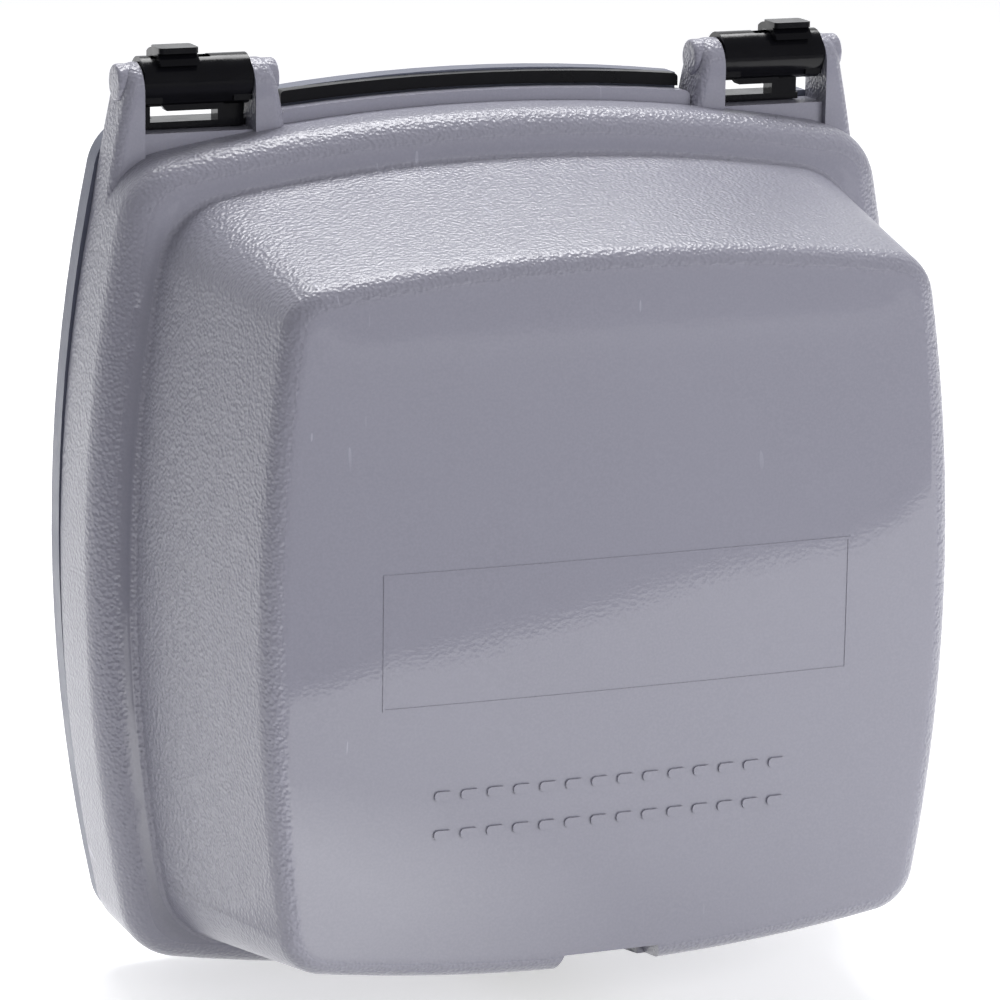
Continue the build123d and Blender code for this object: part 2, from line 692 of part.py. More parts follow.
def mounting_strap():
    """The steel strap: its ears take the box screws in slots, and the plate screws in tapped holes."""
    spine = Rectangle(32, 2 * 35.6) + Rectangle(2 * STRAP_HALF_W, 2 * STRAP_HALF_H)
    plate = extrude(front_plane(STRAP_THICK) * spine, STRAP_THICK)
    y = (-1, STRAP_THICK + 1)
    for side in (1, -1):
        middle = side * BOX_SCREW_SPACING / 2
        slot = Plane(origin=(0, y[1], middle), z_dir=(0, -1, 0), x_dir=(1, 0, 0)) * SlotOverall(6.6, 4.6)
        plate = plate - extrude(slot, 4)
        tapped = side * PLATE_SCREW_SPACING / 2
        plate = plate - rod((0, y[0], tapped), (0, y[1], tapped), 1.45)
    for x, z, size in blade_places():
        plate = plate - slot_cut(x, z, (5.2, 11.0), y)
    for z in BLADE_Z:
        plate = plate - rod((0, y[0], z - GROUND_DROP), (0, y[1], z - GROUND_DROP), 2.7)
    plate = plate - slot_cut(0, 0, (19.0, 13.0), y)
    for x, z in assembly_places():
        plate = plate - rod((x, y[0], z), (x, y[1], z), ASSEMBLY_SCREW_R + 0.3)
    lens_x, lens_z = LENS_PLACE
    plate = plate - rod((lens_x, y[0], lens_z), (lens_x, y[1], lens_z), LENS_R + 0.4)
    tab = block((-15.5, -8.0), (0, 12.0), (-35.6, -34.3))
    x, y = GROUND_SCREW_X, GROUND_SCREW_Y
    return plate + (tab - rod((x, y, -40), (x, y, -30), TERMINAL_SCREW_R + 0.05))


def middle_housing():
    front = STRAP_THICK
    half_w, half_h = BODY_HALF_W - 1, BODY_HALF_H - 1
    housing = block((-half_w, half_w), (front, MIDDLE_BACK_Y), (-half_h, half_h))
    channel = block((CHANNEL_X[0], CHANNEL_X[1]), (front + 0.8, MIDDLE_BACK_Y + 1), CHANNEL_Z)
    shelf = block((CHANNEL_X[1] - 0.1, 12.7), (9.9, MIDDLE_BACK_Y + 1), (-7.2, 1.6))
    housing = housing - both_sides(channel + shelf)
    for x, z, size in blade_places():
        housing = housing - slot_cut(x, z, (size[0] + 0.4, size[1] + 0.4), (0, front + 1))
    for z in BLADE_Z:
        ground_z = z - GROUND_DROP
        housing = housing - rod((0, front - 1, ground_z), (0, 10.0, ground_z), GROUND_FLANGE_R + 0.15)
    test_z, reset_z = BUTTON_Z["test_button"], BUTTON_Z["reset_button"]
    housing = housing - rod((0, 0, test_z), (0, 8, test_z), STEM_R["test_button"] + 0.15)
    stem_r = STEM_R["reset_button"] + 0.15
    housing = housing - rod((0, 0, reset_z), (0, MIDDLE_BACK_Y + 1, reset_z), stem_r)
    housing = housing - block((-2.6, 2.6), (7.4, MIDDLE_BACK_Y + 1), (0.8, 5.6))
    for x, z in assembly_places():
        housing = housing - rod((x, 0, z), (x, MIDDLE_BACK_Y + 1, z), ASSEMBLY_SCREW_R + 0.1)
    lens_x, lens_z = LENS_PLACE
    return housing - rod((lens_x, 0, lens_z), (lens_x, MIDDLE_BACK_Y + 1, lens_z), LENS_R + 0.1)


def rear_body():
    wall = SHELL_WALL
    body = block((-BODY_HALF_W, BODY_HALF_W), (MIDDLE_BACK_Y, REAR_BACK_Y), (-BODY_HALF_H, BODY_HALF_H))
    body = fillet(edges_at_depth(body, REAR_BACK_Y), 2.0)
    half_w, half_h = BODY_HALF_W - wall, BODY_HALF_H - wall
    body = body - block((-half_w, half_w), (MIDDLE_BACK_Y - 1, REAR_BACK_Y - wall), (-half_h, half_h))
    for z in TERMINAL_Z:
        pocket = block((13.0, BODY_HALF_W), (MIDDLE_BACK_Y, 27.2), (z - 8.0, z + 8.0))
        hollow = block((14.6, BODY_HALF_W + 1), (14.6, 25.8), (z - 6.4, z + 6.4))
        screw_hole = rod((10, TERMINAL_Y, z), (20, TERMINAL_Y, z), TERMINAL_SCREW_R + 0.3)
        leg_hole = block((12.0, 15.0), (23.3, 26.1), (z - 2.5, z + 2.5))
        body = body + both_sides(pocket) - both_sides(hollow + screw_hole + leg_hole)
    for x, z in assembly_places():
        body = body + rod((x, MIDDLE_BACK_Y, z), (x, REAR_BACK_Y - 0.5, z), 2.9)
        body = body - rod((x, MIDDLE_BACK_Y - 1, z), (x, REAR_BACK_Y + 1, z), ASSEMBLY_SCREW_R + 0.1)
        body = body - rod((x, REAR_BACK_Y - 1.6, z), (x, REAR_BACK_Y + 1, z), ASSEMBLY_HEAD_R + 0.2)
    return body


def assembly_screws():
    screws = []
    for x, z in assembly_places():
        shank = rod((x, -3.8, z), (x, REAR_BACK_Y - 1.6, z), ASSEMBLY_SCREW_R)
        head = rod((x, REAR_BACK_Y - 1.6, z), (x, REAR_BACK_Y - 0.2, z), ASSEMBLY_HEAD_R)
        cross = block((x - 1.5, x + 1.5), (REAR_BACK_Y - 0.9, REAR_BACK_Y), (z - 0.3, z + 0.3))
        cross = cross + block((x - 0.3, x + 0.3), (REAR_BACK_Y - 0.9, REAR_BACK_Y), (z - 1.5, z + 1.5))
        screws.append(at_gfci((shank + head) - cross))
    return Compound(children=screws)


def button(name):
    z = BUTTON_Z[name]
    inner_y = DEVICE_FRONT_Y + FACE_WALL
    cap = block(
        (-BUTTON_W / 2, BUTTON_W / 2),
        (DEVICE_FRONT_Y - BUTTON_PROUD, inner_y + 0.2),
        (z - BUTTON_H / 2, z + BUTTON_H / 2),
    )
    cap = fillet(edges_at_depth(cap, DEVICE_FRONT_Y - BUTTON_PROUD), 0.5)
    flange = block((-8.6, 8.6), (inner_y + 0.1, FLANGE_BACK_Y), (z - BUTTON_H / 2, z + BUTTON_H / 2))
    stem = rod((0, FLANGE_BACK_Y - 0.5, z), (0, STEM_END_Y[name], z), STEM_R[name])
    return cap + flange + stem


def button_spring(name):
    wire = 0.25
    radius = STEM_R[name] + 0.15 + wire
    start_y = FLANGE_BACK_Y + wire + 0.05
    end_y = STRAP_THICK - wire - 0.05
    return coil(0, BUTTON_Z[name], start_y, end_y, radius, wire, 5)


def shutter(blade_z):
    """A sliding shutter: its windows stand aside from the blade slots until it slides across."""
    y = (DEVICE_FRONT_Y + FACE_WALL + 0.1, SHUTTER_BACK_Y)
    plate = block((-9.6, 9.6), y, (blade_z - 4.9, blade_z + 4.7))
    for x, size in ((BLADE_SPACING / 2, HOT_SLOT), (-BLADE_SPACING / 2, NEUTRAL_SLOT)):
        window = (size[0] + 0.3, size[1] + 0.1)
        plate = plate - slot_cut(x - SHUTTER_TRAVEL, blade_z, window, (y[0] - 1, y[1] + 1))
    boss_x = ASSEMBLY_X - SHUTTER_TRAVEL
    return plate - rod((boss_x, y[0] - 1, ASSEMBLY_Z), (boss_x, y[1] + 1, ASSEMBLY_Z), 2.9)


def shutter_spring(blade_z):
    """A small spring along X between the shutter's end and the face cover's side wall."""
    wire = 0.15
    radius = 0.6
    start_x, end_x = 9.6 + wire + 0.03, DEVICE_HALF_W - SHELL_WALL - wire - 0.03
    middle_y = (DEVICE_FRONT_Y + FACE_WALL + 0.1 + SHUTTER_BACK_Y) / 2
    place = Plane(origin=(start_x, middle_y, blade_z), z_dir=(1, 0, 0))
    path = place * Helix((end_x - start_x) / 6, end_x - start_x, radius)
    section = Plane(origin=path @ 0, z_dir=path % 0) * Circle(wire)
    return sweep(section, path=path)


def shutter_frame(blade_z):
    z = (blade_z - 5.4, blade_z + 5.0)
    frame = block((-10.6, 10.6), (SHUTTER_BACK_Y + 0.1, 0), z)
    frame = frame - block((-9.6, 9.6), (SHUTTER_BACK_Y + 1.3, 1), (z[0] - 1, z[1] + 1))
    for x, size in ((BLADE_SPACING / 2, HOT_SLOT), (-BLADE_SPACING / 2, NEUTRAL_SLOT)):
        window = (size[0] + 0.4, size[1] + 0.4)
        frame = frame - slot_cut(x, blade_z, window, (SHUTTER_BACK_Y - 1, 1))
    return frame


def shutter_frames():
    return Compound(children=[at_gfci(shutter_frame(z)) for z in BLADE_Z])


def blade_contacts():
    """The bus on the right: a strip with two gripping leaves behind each slot, and a fixed contact."""
    x = BLADE_SPACING / 2
    strip = block((x - 2.2, x + 2.2), (10.4, 11.2), (CHANNEL_Z[0] + 0.5, CHANNEL_Z[1] - 0.5))
    shape = strip
    for z in BLADE_Z:
        for side in (1, -1):
            near, far = sorted((x + side * 0.95, x + side * 1.45))
            shape = shape + block((near, far), (2.4, 10.6), (z - 3.6, z + 3.6))
            flare_near, flare_far = sorted((x + side * 1.3, x + side * 2.2))
            shape = shape + block((flare_near, flare_far), (2.4, 2.9), (z - 3.6, z + 3.6))
    tab = block((x + 2.0, 12.2), (10.4, 11.2), (-6.0, 0.6))
    button_stud = rod((ARM_CONTACT_X, 11.1, -2.7), (ARM_CONTACT_X, 14.1, -2.7), 1.5)
    return shape + tab + button_stud


def ground_contacts():
    sleeves = []
    for z in BLADE_Z:
        ground_z = z - GROUND_DROP
        sleeve = tube((0, STRAP_THICK, ground_z), (0, 9.4, ground_z), 3.1, 2.6)
        flange = tube((0, STRAP_THICK, ground_z), (0, STRAP_THICK + 0.8, ground_z), GROUND_FLANGE_R, 2.6)
        split = block((-0.4, 0.4), (3.0, 10.0), (ground_z - 4, ground_z + 4))
        sleeves.append(at_gfci(sleeve + flange - split))
    return Compound(children=sleeves)


def test_contact():
    leaf = block((-2.4, 2.4), (9.2, 9.6), (1.0, 5.4))
    return leaf + block((-2.4, 2.4), (9.2, 12.9), (5.0, 5.4))


def circuit_board():
    board = block((-17.6, 17.6), BOARD_Y, (-31.4, 31.4))
    for x, z in assembly_places():
        board = board - rod((x, BOARD_Y[0] - 1, z), (x, BOARD_Y[1] + 1, z), 3.2)
    return board


def sensing_toroids():
    rings = []
    for y in TOROID_Y:
        outer = tube((0, y - 2.0, TOROID_Z), (0, y + 2.0, TOROID_Z), 8.0, 4.3)
        outer = fillet(outer.edges(), 1.2)
        rings.append(at_gfci(outer))
    return Compound(children=rings)


def toroid_cup():
    core = tube((0, 14.2, TOROID_Z), (0, BOARD_Y[0], TOROID_Z), 4.1, 3.1)
    foot = tube((0, BOARD_Y[0] - 1.6, TOROID_Z), (0, BOARD_Y[0], TOROID_Z), 8.6, 3.1)
    return core + foot


def line_conductors():
    bars = []
    for x in (-1.5, 1.5):
        bars.append(at_gfci(rod((x, 13.4, TOROID_Z), (x, BOARD_Y[0], TOROID_Z), 0.9)))
    return Compound(children=bars)


def solenoid_frame():
    low, high = COIL_Z
    back = block((-6.0, 6.0), (COIL_Y + 6.6, COIL_Y + 7.6), (low - 1.4, high + 1.4))
    frame = back
    for z in ((low - 1.4, low - 0.2), (high + 0.2, high + 1.4)):
        frame = frame + block((-6.0, 6.0), (COIL_Y - 5.6, COIL_Y + 6.7), z)
    return frame - rod((0, COIL_Y, low - 3), (0, COIL_Y, high - 1), PLUNGER_R + 0.3)


def solenoid_bobbin():
    low, high = COIL_Z
    core = tube((0, COIL_Y, low - 0.2), (0, COIL_Y, high + 0.2), 3.3, PLUNGER_R + 0.1)
    ends = tube((0, COIL_Y, low - 0.2), (0, COIL_Y, low + 0.8), 6.0, PLUNGER_R + 0.1)
    return core + ends + tube((0, COIL_Y, high - 0.8), (0, COIL_Y, high + 0.2), 6.0, PLUNGER_R + 0.1)


def solenoid_winding():
    low, high = COIL_Z
    return tube((0, COIL_Y, low + 0.9), (0, COIL_Y, high - 0.9), 5.8, 3.4)


def solenoid_plunger():
    low, high = COIL_Z
    shaft = rod((0, COIL_Y, PLUNGER_HEAD_Z), (0, COIL_Y, high - 5.0), PLUNGER_R)
    return shaft + rod((0, COIL_Y, PLUNGER_HEAD_Z - 1.2), (0, COIL_Y, PLUNGER_HEAD_Z), 3.3)


def plunger_spring():
    wire = 0.3
    low, high = PLUNGER_HEAD_Z + wire + 0.03, COIL_Z[0] - 1.4 - wire - 0.03
    place = Plane(origin=(0, COIL_Y, low), z_dir=(0, 0, 1))
    path = place * Helix((high - low) / 4, high - low, PLUNGER_R + wire + 0.2)
    section = Plane(origin=path @ 0, z_dir=path % 0) * Circle(wire)
    return sweep(section, path=path)


def latch_plate():
    """A sliding plate with a long hole round the reset stem; the plunger pushes its upper end."""
    top = PLUNGER_HEAD_Z - 1.3
    plate = block((-4.0, 4.0), LATCH_Y, (LATCH_BOTTOM_Z, top))
    reset_z, half = BUTTON_Z["reset_button"], STEM_R["reset_button"] + 0.2
    y = (LATCH_Y[0] - 1, LATCH_Y[1] + 1)
    return plate - block((-half, half), y, (reset_z - half, reset_z + half + PLUNGER_TRAVEL))


def contact_carriage():
    reset_z = BUTTON_Z["reset_button"]
    carriage = block((-9.0, 9.0), CARRIAGE_Y, CARRIAGE_Z)
    carriage = fillet(carriage.edges().filter_by(Axis.Y), 1.0)
    return carriage - rod((0, 10, reset_z), (0, 20, reset_z), STEM_R["reset_button"] + 0.15)


def moving_arms():
    arms = []
    for side in (1, -1):
        arm = block(span_x(side, 9.0, 12.3), (15.2, 15.8), (-6.6, -0.8))
        stud = rod((side * ARM_CONTACT_X, 14.2, -2.7), (side * ARM_CONTACT_X, 15.3, -2.7), 1.5)
        arms.append(at_gfci(arm + stud))
    return Compound(children=arms)


def terminal_places():
    return [(side, z) for side in (1, -1) for z in TERMINAL_Z]


def terminal_plates():
    plates = []
    for side, z in terminal_places():
        plate = block(span_x(side, 14.7, 15.9), (14.8, 25.6), (z - 6.0, z + 6.0))
        screw_hole = rod((side * 10, TERMINAL_Y, z), (side * 20, TERMINAL_Y, z), TERMINAL_SCREW_R + 0.05)
        plate = plate - screw_hole
        leg = block(span_x(side, 11.0, 14.9), (23.6, 24.8), (z - 2.2, z + 2.2))
        foot = block(span_x(side, 11.0, 12.2), (23.6, BOARD_Y[0]), (z - 2.2, z + 2.2))
        plates.append(at_gfci(plate + leg + foot))
    return Compound(children=plates)


def clamp_plates():
    plates = []
    for side, z in terminal_places():
        plate = block(span_x(side, 17.0, 18.0), (15.4, 25.0), (z - 5.0, z + 5.0))
        plate = fillet(plate.edges().filter_by(Axis.X), 1.0)
        screw_hole = rod((side * 10, TERMINAL_Y, z), (side * 25, TERMINAL_Y, z), TERMINAL_SCREW_R + 0.2)
        plates.append(at_gfci(plate - screw_hole))
    return Compound(children=plates)


def terminal_screw(side, z):
    head = rod((side * 18.0, TERMINAL_Y, z), (side * 19.9, TERMINAL_Y, z), 3.8)
    shank = rod((side * 13.4, TERMINAL_Y, z), (side * 18.1, TERMINAL_Y, z), TERMINAL_SCREW_R)
    slot = block(span_x(side, 19.1, 20.5), (TERMINAL_Y - 4, TERMINAL_Y + 4), (z - 0.45, z + 0.45))
    return at_gfci((head + shank) - slot)


def side_screws(side):
    return Compound(children=[terminal_screw(side, z) for z in TERMINAL_Z])


def ground_screw():
    x, y = GROUND_SCREW_X, GROUND_SCREW_Y
    head = rod((x, y, -35.6), (x, y, -37.6), 3.8)
    head = head - block((x - 4, x + 4), (y - 0.45, y + 0.45), (-38.0, -36.8))
    return head + rod((x, y, -35.7), (x, y, -34.15), TERMINAL_SCREW_R)


def indicator_lens():
    x, z = LENS_PLACE
    return rod((x, DEVICE_FRONT_Y - 0.2, z), (x, LED_FRONT_Y, z), LENS_R)


def indicator_led():
    x, z = LENS_PLACE
    return rod((x, LED_FRONT_Y + 0.1, z), (x, BOARD_Y[0], z), 1.5)


def surge_disc():
    return fillet(rod((-14.6, 22.4, 2.0), (-11.2, 22.4, 2.0), 4.8).edges(), 0.8)


def capacitor():
    can = rod((13.6, 18.6, 1.0), (13.6, BOARD_Y[0], 1.0), 3.5)
    return fillet(edges_at_depth(can, 18.6), 0.6)


def control_chip():
    return block((-3.0, 3.0), (25.6, BOARD_Y[0]), (-8.4, -3.6))


def cover_parts():
    return {
        "cover_lid": cover_lid(),
        "base_frame": base_frame(),
        "rain_seal": rain_seal(),
        "wall_gasket": wall_gasket(),
        "gfci_insert": gfci_insert(),
        "blank_insert": blank_insert(),
        "cover_mounting_screws": cover_mounting_screws(),
        "hinge_block_left": hinge_block(-1),
        "hinge_block_right": hinge_block(1),
        "hinge_slide_left": hinge_slide(-1),
        "hinge_slide_right": hinge_slide(1),
    }


def receptacle_parts():
    """Pieces drawn about the receptacle's own middle, still to be moved into the left gang."""
    upper, lower = BLADE_Z
    return {
        "face_cover": face_cover(),
        "mounting_strap": mounting_strap(),
        "middle_housing": middle_housing(),
        "rear_body": rear_body(),
        "test_button": button("test_button"),
        "reset_button": button("reset_button"),
        "test_spring": button_spring("test_button"),
        "reset_spring": button_spring("reset_button"),
        "upper_shutter": shutter(upper),
        "lower_shutter": shutter(lower),
        "upper_shutter_spring": shutter_spring(upper),
        "lower_shutter_spring": shutter_spring(lower),
        "hot_contacts": blade_contacts(),
        "neutral_contacts": mirrored_x(blade_contacts()),
        "test_contact": test_contact(),
        "circuit_board": circuit_board(),
        "toroid_cup": toroid_cup(),
        "solenoid_frame": solenoid_frame(),
        "solenoid_bobbin": solenoid_bobbin(),
        "solenoid_winding": solenoid_winding(),
        "solenoid_plunger": solenoid_plunger(),
        "plunger_spring": plunger_spring(),
        "latch_plate": latch_plate(),
        "contact_carriage": contact_carriage(),
        "ground_screw": ground_screw(),
        "indicator_lens": indicator_lens(),
        "indicator_led": indicator_led(),
        "surge_disc": surge_disc(),
        "capacitor": capacitor(),
        "control_chip": control_chip(),
    }


def receptacle_groups():
    """Groups of identical pieces, already in the left gang."""
    return {
        "assembly_screws": assembly_screws(),
        "shutter_frames": shutter_frames(),
        "ground_contacts": ground_contacts(),
        "sensing_toroids": sensing_toroids(),
        "line_conductors": line_conductors(),
        "moving_arms": moving_arms(),
        "terminal_plates": terminal_plates(),
        "clamp_plates": clamp_plates(),
        "hot_screws": side_screws(1),
        "neutral_screws": side_screws(-1),
    }


os.makedirs("parts", exist_ok=True)
nodes = cover_parts()
nodes.update({name: at_gfci(shape) for name, shape in receptacle_parts().items()})
nodes.update(receptacle_groups())
for name, shape in nodes.items():
    export_step(shape, f"parts/{name}.step")
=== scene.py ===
import json
import math

import bpy
from mathutils import Matrix, Vector

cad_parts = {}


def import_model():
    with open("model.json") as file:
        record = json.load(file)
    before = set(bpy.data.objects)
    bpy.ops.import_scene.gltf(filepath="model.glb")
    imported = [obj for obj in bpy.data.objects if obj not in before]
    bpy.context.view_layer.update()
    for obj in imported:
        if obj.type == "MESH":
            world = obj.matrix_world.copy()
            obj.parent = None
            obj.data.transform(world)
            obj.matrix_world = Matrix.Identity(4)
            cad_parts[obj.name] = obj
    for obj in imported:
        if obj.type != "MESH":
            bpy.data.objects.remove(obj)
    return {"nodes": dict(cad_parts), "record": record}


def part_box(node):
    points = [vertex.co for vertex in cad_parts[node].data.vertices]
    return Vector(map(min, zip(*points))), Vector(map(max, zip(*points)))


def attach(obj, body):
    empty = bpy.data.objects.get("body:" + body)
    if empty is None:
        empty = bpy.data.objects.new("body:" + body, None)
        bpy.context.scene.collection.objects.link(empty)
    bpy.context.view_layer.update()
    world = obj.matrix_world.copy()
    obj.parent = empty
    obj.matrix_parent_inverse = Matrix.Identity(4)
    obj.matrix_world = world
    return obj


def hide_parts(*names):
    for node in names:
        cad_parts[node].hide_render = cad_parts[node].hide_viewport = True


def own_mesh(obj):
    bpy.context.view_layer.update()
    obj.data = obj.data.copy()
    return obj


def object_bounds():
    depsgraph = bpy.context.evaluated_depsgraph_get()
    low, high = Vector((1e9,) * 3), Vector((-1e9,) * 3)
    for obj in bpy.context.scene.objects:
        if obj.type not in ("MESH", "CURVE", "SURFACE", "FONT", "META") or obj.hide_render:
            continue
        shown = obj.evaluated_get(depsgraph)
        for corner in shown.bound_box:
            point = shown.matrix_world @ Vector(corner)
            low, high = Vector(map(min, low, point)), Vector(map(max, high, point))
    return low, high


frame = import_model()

# Looks for a GFCI receptacle behind a two-gang weatherproof in-use cover. Metres, +Y into the wall.

CAD_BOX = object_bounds()
MM = 0.001

# The colour sockets of a Mix node, whose names are shared by its other data types.
MIX_FIRST, MIX_SECOND, MIX_RESULT = 6, 7, 2


# ---------------------------------------------------------------- shader building blocks


class Shader:
    """A node material being built. Each call adds a node and returns the socket it makes."""

    def __init__(self, name):
        self.material = bpy.data.materials.new(name)
        self.material.use_nodes = True
        self.tree = self.material.node_tree
        self.bsdf = self.tree.nodes["Principled BSDF"]
        coordinates = self.tree.nodes.new("ShaderNodeTexCoord")
        self.place = coordinates.outputs["Object"]
        self.facing = coordinates.outputs["Normal"]

    def feed(self, socket, value):
        """Links a socket to another, or sets its value. A colour may be given without its alpha."""
        if isinstance(value, bpy.types.NodeSocket):
            self.tree.links.new(value, socket)
        elif socket.type == "RGBA" and len(value) == 3:
            socket.default_value = (*value, 1.0)
        else:
            socket.default_value = value

    def surface(self, **inputs):
        """Feeds inputs of the main surface, named with spaces as underscores."""
        for name, value in inputs.items():
            self.feed(self.bsdf.inputs[name.replace("_", " ")], value)

    def stretched(self, along):
        """The place scaled by a factor along each axis, which draws patterns out where it is under 1."""
        node = self.tree.nodes.new("ShaderNodeMapping")
        node.inputs["Scale"].default_value = along
        self.tree.links.new(self.place, node.inputs["Vector"])
        return node.outputs["Vector"]

    def noise(self, cell, detail=2.0, roughness=0.5, along=None):
        """Soft noise from 0 to 1 whose spots are about one cell across, in metres."""
        node = self.tree.nodes.new("ShaderNodeTexNoise")
        node.inputs["Scale"].default_value = 1.0 / cell
        node.inputs["Detail"].default_value = detail
        node.inputs["Roughness"].default_value = roughness
        self.tree.links.new(self.stretched(along) if along else self.place, node.inputs["Vector"])
        return node.outputs["Fac"]

    def pebbles(self, cell, smoothness=0.6):
        """Rounded grain: the distance to the nearest of many points about one cell apart."""
        node = self.tree.nodes.new("ShaderNodeTexVoronoi")
        node.feature = "SMOOTH_F1"
        node.inputs["Scale"].default_value = 1.0 / cell
        node.inputs["Smoothness"].default_value = smoothness
        self.tree.links.new(self.place, node.inputs["Vector"])
        return node.outputs["Distance"]

    def stripes(self, pitch, direction="Z", distortion=0.0):
        """Soft stripes from 0 to 1, one pitch apart in metres, wavy with distortion."""
        node = self.tree.nodes.new("ShaderNodeTexWave")
        node.bands_direction = direction
        node.inputs["Scale"].default_value = math.pi / (10 * pitch)
        node.inputs["Distortion"].default_value = distortion
        self.tree.links.new(self.place, node.inputs["Vector"])
        return node.outputs["Fac"]

    def remap(self, value, low, high, to_low=0.0, to_high=1.0):
        """Clamped change of range."""
        node = self.tree.nodes.new("ShaderNodeMapRange")
        self.tree.links.new(value, node.inputs["Value"])
        self.feed(node.inputs["From Min"], low)
        self.feed(node.inputs["From Max"], high)
        self.feed(node.inputs["To Min"], to_low)
        self.feed(node.inputs["To Max"], to_high)
        return node.outputs["Result"]

    def math(self, operation, first, second):
        node = self.tree.nodes.new("ShaderNodeMath")
        node.operation = operation
        self.feed(node.inputs[0], first)
        self.feed(node.inputs[1], second)
        return node.outputs["Value"]

    def mix(self, share, first, second):
        """A colour between two colours or colour sockets."""
        node = self.tree.nodes.new("ShaderNodeMix")
        node.data_type = "RGBA"
        self.feed(node.inputs["Factor"], share)
        self.feed(node.inputs[MIX_FIRST], first)
        self.feed(node.inputs[MIX_SECOND], second)
        return node.outputs[MIX_RESULT]

    def part_of(self, vector, axis):
        """One component, X, Y or Z, of a vector socket."""
        node = self.tree.nodes.new("ShaderNodeSeparateXYZ")
        self.tree.links.new(vector, node.inputs["Vector"])
        return node.outputs[axis]

    def distance_to(self, point):
        """Distance in metres from a point in the object's own frame."""
        node = self.tree.nodes.new("ShaderNodeVectorMath")
        node.operation = "DISTANCE"
        self.tree.links.new(self.place, node.inputs[0])
        node.inputs[1].default_value = point
        return node.outputs["Value"]

    def bump(self, height, depth, under=None, strength=1.0):
        """Surface relief: height 0 to 1 scaled to a depth in metres, on top of other relief."""
        node = self.tree.nodes.new("ShaderNodeBump")
        node.inputs["Distance"].default_value = depth
        self.feed(node.inputs["Strength"], strength)
        self.tree.links.new(height, node.inputs["Height"])
        if under is not None:
            self.tree.links.new(under, node.inputs["Normal"])
        return node.outputs["Normal"]


def shade(colour, factor):
    """A colour made lighter or darker by a factor."""
    return tuple(min(1.0, channel * factor) for channel in colour)


# ---------------------------------------------------------------- materials


def moulded_plastic(name, colour, roughness, grain=0.8 * MM, depth=0.03 * MM):
    """Moulded plastic: fine pebble grain, faint flow marks in colour, handled patches in gloss."""
    s = Shader(name)
    flow = s.noise(22 * MM, detail=3)
    body = s.mix(flow, shade(colour, 0.92), shade(colour, 1.07))
    relief = s.bump(s.pebbles(grain), depth)
    relief = s.bump(s.noise(7 * MM, detail=2), 0.06 * MM, under=relief)
    patches = s.noise(12 * MM, detail=4, roughness=0.6)
    gloss = s.remap(patches, 0.3, 0.7, roughness * 0.85, roughness * 1.2)
    s.surface(Base_Color=body, Roughness=gloss, Normal=relief)
    return s.material


def fine_plastic(name, colour, roughness, depth=0.01 * MM, grain=0.4 * MM):
    """Moulded plastic of a small piece, with a finer and shallower grain."""
    return moulded_plastic(name, colour, roughness, grain=grain, depth=depth)


def cover_plastic(name, colour):
    """The lid: leather grain over the sides and edges, a smoother and glossier front face."""
    s = Shader(name)
    outward = s.part_of(s.facing, "Y")
    face = s.remap(outward, -0.93, -0.99)
    flow = s.noise(30 * MM, detail=3)
    body = s.mix(flow, shade(colour, 0.96), shade(colour, 1.04))
    body = s.mix(s.remap(s.noise(0.45 * MM, detail=1), 0.35, 0.75), body, shade(colour, 1.07))
    body = s.mix(scratches(s), body, shade(colour, 1.35))
    grain = s.pebbles(0.70 * MM)
    relief = s.bump(grain, 0.19 * MM, strength=s.remap(face, 0.0, 1.0, 1.0, 0.03))
    fine = s.noise(0.35 * MM, detail=2)
    relief = s.bump(fine, 0.03 * MM, under=relief, strength=s.remap(face, 0.0, 1.0, 1.0, 0.07))
    relief = s.bump(s.noise(26 * MM, detail=1), 0.05 * MM, under=relief)
    smudge = s.remap(s.noise(25 * MM, detail=4, roughness=0.6), 0.35, 0.7, -0.01, 0.015)
    gloss = s.math("ADD", s.remap(face, 0.0, 1.0, 0.30, 0.035), smudge)
    s.surface(Base_Color=body, Roughness=gloss, Normal=relief)
    return s.material


def scratches(s):
    """A mask with a few hair-thin upright scratches."""
    streaks = s.noise(9 * MM, detail=1, roughness=0.3, along=(6.0, 0.5, 0.9))
    rare = s.remap(s.noise(40 * MM, detail=0), 0.64, 0.70)
    return s.math("MULTIPLY", s.remap(streaks, 0.722, 0.73), rare)


def black_gloss(name, colour):
    """Glossy black nylon with faint moulding ripples and lightly handled patches."""
    s = Shader(name)
    rub = s.noise(5 * MM, detail=4, roughness=0.6)
    body = s.mix(rub, colour, shade(colour, 1.8))
    relief = s.bump(s.noise(2.2 * MM, detail=2), 0.03 * MM)
    gloss = s.remap(rub, 0.3, 0.7, 0.12, 0.24)
    s.surface(Base_Color=body, Roughness=gloss, Normal=relief, Specular_IOR_Level=0.22)
    return s.material


def rubber(name, colour, foam=False):
    """Rubber with a dusty bloom; foam adds open pores, darkened with painted shade."""
    s = Shader(name)
    bloom = s.noise(6 * MM, detail=5, roughness=0.65)
    body = s.mix(s.remap(bloom, 0.4, 0.75), colour, shade(colour, 1.5))
    if foam:
        pores = s.pebbles(0.7 * MM, smoothness=0.2)
        # Painted shade: the pores are darkened to 0.35 of the rubber colour.
        body = s.mix(s.remap(pores, 0.45, 0.2), body, shade(colour, 0.35))
        relief = s.bump(pores, 0.25 * MM)
    else:
        relief = s.bump(s.noise(0.6 * MM, detail=3), 0.03 * MM)
    gloss = 0.9 if foam else s.remap(bloom, 0.3, 0.7, 0.22, 0.40)
    s.surface(Base_Color=body, Roughness=gloss, Normal=relief, Specular_IOR_Level=0.25)
    return s.material


